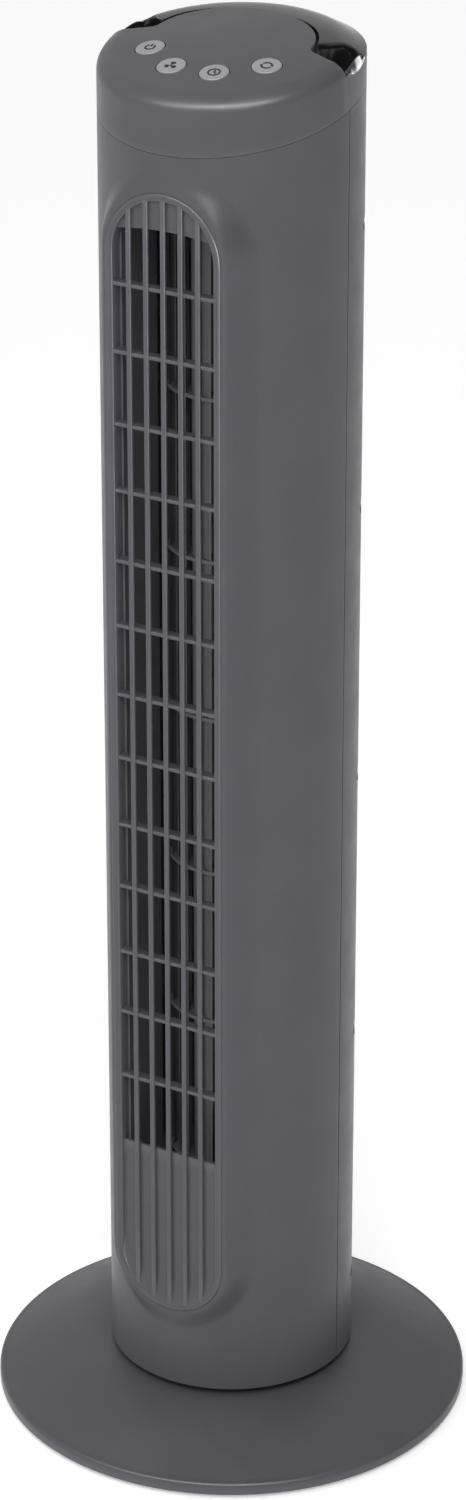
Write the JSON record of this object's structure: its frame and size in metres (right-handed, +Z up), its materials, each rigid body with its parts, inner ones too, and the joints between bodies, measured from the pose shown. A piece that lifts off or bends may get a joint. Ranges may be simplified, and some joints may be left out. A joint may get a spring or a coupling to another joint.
{
  "type": "tower fan",
  "caption": "Slim round tower fan on a disc base, with a flat grille outlet, a domed push-button panel, a rear carry handle and a swinging column.",
  "frame": {"origin": "centre of the underside of the feet, on the swing axis", "axes": "+Z up along the column, -Y towards the air outlet, +X to the right of someone facing the outlet"},
  "size_m": [0.266, 0.266, 0.7924],
  "materials": {
    "body_plastic": "fine spark-eroded matt texture, cool dark grey",
    "inner_plastic": "plain moulded black",
    "gloss_plastic": "polished near-black",
    "button_plastic": "satin light grey with dark printed icons",
    "white_plastic": "natural acetal",
    "steel": "zinc plated",
    "iron": "laminated electrical steel",
    "copper_wire": "varnished winding wire",
    "bronze": "sintered, oil filled",
    "rubber": "soft black rubber",
    "cable_jacket": "smooth PVC sleeve",
    "circuit_board": "green solder mask"
  },
  "bodies": {
    "base": {"base_cover": "body_plastic", "base_plate": "inner_plastic", "base_weight": "steel", "rubber_feet": "rubber", "base_screws": "steel", "thrust_ring": "white_plastic", "pivot_post": "steel", "post_screws": "steel", "retaining_washer": "steel", "swing_yoke": "steel", "yoke_screws": "steel"},
    "tower": {"tower_floor": "body_plastic", "front_housing": "body_plastic", "rear_housing": "body_plastic", "outlet_grille": "body_plastic", "top_cap": "body_plastic", "carry_handle": "gloss_plastic", "handle_well": "inner_plastic", "housing_screws": "steel", "cap_screws": "steel", "swing_motor": "steel", "swing_motor_bracket": "steel", "bracket_screws": "steel", "motor_can": "steel", "motor_end_bell": "steel", "stator_core": "iron", "stator_windings": "copper_wire", "lower_motor_bush": "bronze", "upper_motor_bush": "bronze", "motor_dampers": "rubber", "motor_screws": "steel", "motor_plate": "inner_plastic", "run_capacitor": "white_plastic", "power_board": "circuit_board", "scroll_guide": "inner_plastic", "tongue_guide": "inner_plastic", "top_bearing_plate": "inner_plastic", "bush_holder": "rubber", "top_bush": "bronze", "control_board": "circuit_board", "push_switches": "inner_plastic", "board_screws": "steel", "wire_harness": "cable_jacket", "cord_gland": "rubber"},
    "crank": {"swing_crank": "white_plastic"},
    "blower": {"blower_wheel": "inner_plastic", "drive_hub": "rubber", "motor_shaft": "steel", "rotor_core": "iron", "top_spindle": "steel"},
    "power_key": {"power_button": "button_plastic"},
    "speed_key": {"speed_button": "button_plastic"},
    "timer_key": {"timer_button": "button_plastic"},
    "swing_key": {"swing_button": "button_plastic"}
  },
  "joints": [
    {"name": "tower_swing", "type": "hinge", "parent": "base", "child": "tower", "pos_m": [0, 0, 0.03], "axis": [0, 0, 1], "range_deg": [-40, 40]},
    {"name": "crank_turn", "type": "hinge", "parent": "tower", "child": "crank", "pos_m": [0, 0.026, 0.05], "axis": [0, 0, 1], "range_deg": [-131, 131]},
    {"name": "blower_spin", "type": "hinge", "parent": "tower", "child": "blower", "pos_m": [0, 0.006, 0.4], "axis": [0, 0, 1], "continuous": true},
    {"name": "power_press", "type": "slide", "parent": "tower", "child": "power_key", "axis": [0.0676, 0.2205, -0.973], "range_m": [0, 0.0012], "stiffness_N_per_m": 700, "springref_m": -0.0006},
    {"name": "speed_press", "type": "slide", "parent": "tower", "child": "speed_key", "axis": [0.0247, 0.2511, -0.9676], "range_m": [0, 0.0012], "stiffness_N_per_m": 700, "springref_m": -0.0006},
    {"name": "timer_press", "type": "slide", "parent": "tower", "child": "timer_key", "axis": [-0.0247, 0.2511, -0.9676], "range_m": [0, 0.0012], "stiffness_N_per_m": 700, "springref_m": -0.0006},
    {"name": "swing_press", "type": "slide", "parent": "tower", "child": "swing_key", "axis": [-0.0676, 0.2205, -0.973], "range_m": [0, 0.0012], "stiffness_N_per_m": 700, "springref_m": -0.0006}
  ],
  "couplings": [
    {"joint": "crank_turn", "follows": "tower_swing", "ratio": -3.25}
  ]
}
